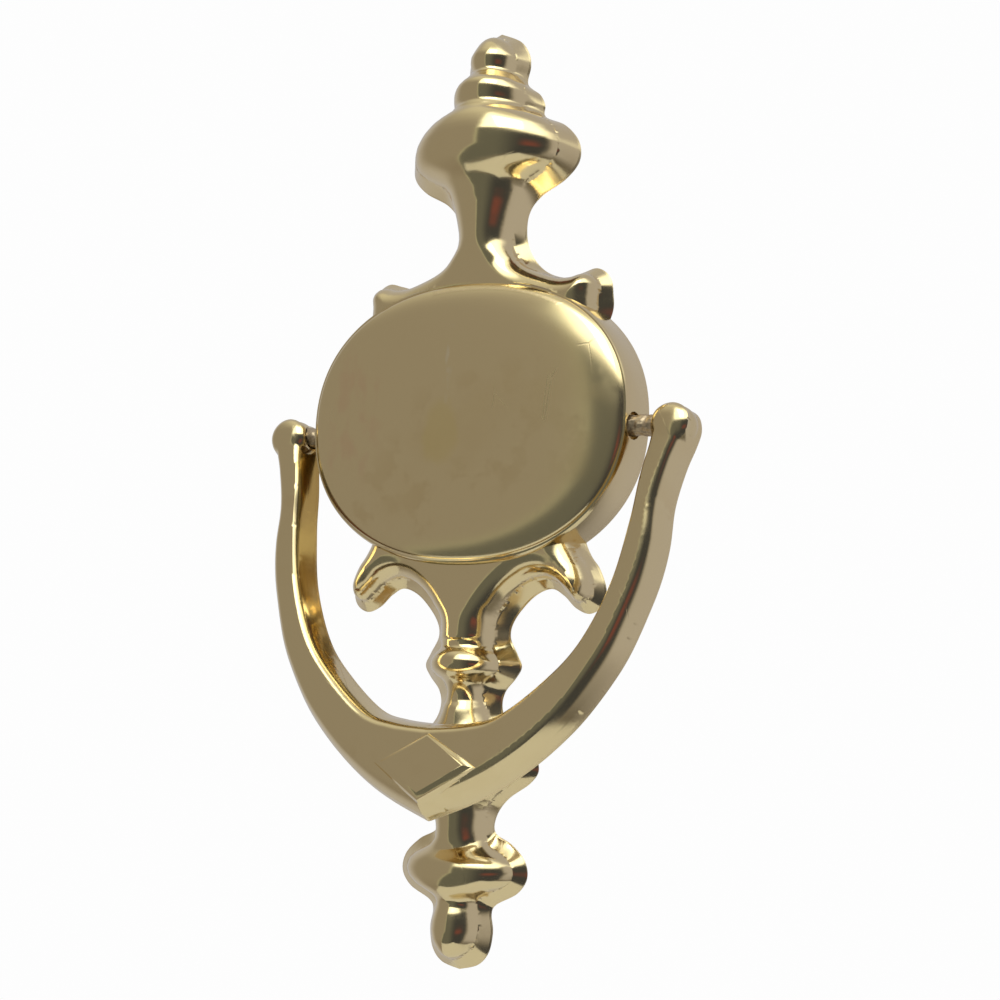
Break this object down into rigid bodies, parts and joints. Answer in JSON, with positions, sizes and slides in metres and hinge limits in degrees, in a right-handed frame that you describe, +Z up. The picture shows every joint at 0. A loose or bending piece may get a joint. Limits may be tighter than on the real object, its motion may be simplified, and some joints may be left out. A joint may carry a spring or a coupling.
{
  "type": "door knocker",
  "caption": "Cast brass door knocker: long turned-style relief plate with horns, scrolls and an oval medallion, and a V-shaped bail that swings on side pins and strikes a stud.",
  "frame": {"origin": "on the face of the door, where the plate's back touches it, level with the bail's pin axis and on the plate's centre line", "axes": "+Z up the plate, +Y into the door, -Y out towards the visitor, +X to the right of someone facing the door"},
  "size_m": [0.1004, 0.0731, 0.2052],
  "materials": {
    "polished_brass": "mirror-polished cast brass with fine buffing lines",
    "satin_brass": "softly buffed cast brass with light tarnish",
    "cast_brass": "rough as-cast brass, unpolished",
    "zinc_steel": "bright zinc-plated steel"
  },
  "bodies": {
    "plate": {"back_plate": "polished_brass", "strike_stud": "satin_brass", "upper_fixing_stud": "zinc_steel", "upper_washer": "zinc_steel", "upper_dome_nut": "polished_brass", "lower_fixing_stud": "zinc_steel", "lower_washer": "zinc_steel", "lower_dome_nut": "polished_brass"},
    "bail": {"bail": "polished_brass", "left_pivot_pin": "cast_brass", "right_pivot_pin": "cast_brass", "striker_button": "satin_brass"}
  },
  "joints": [
    {"name": "bail_swing", "type": "hinge", "parent": "plate", "child": "bail", "pos_m": [0.0012, -0.0065, 0], "axis": [-1, 0, 0], "range_deg": [0, 155]}
  ]
}
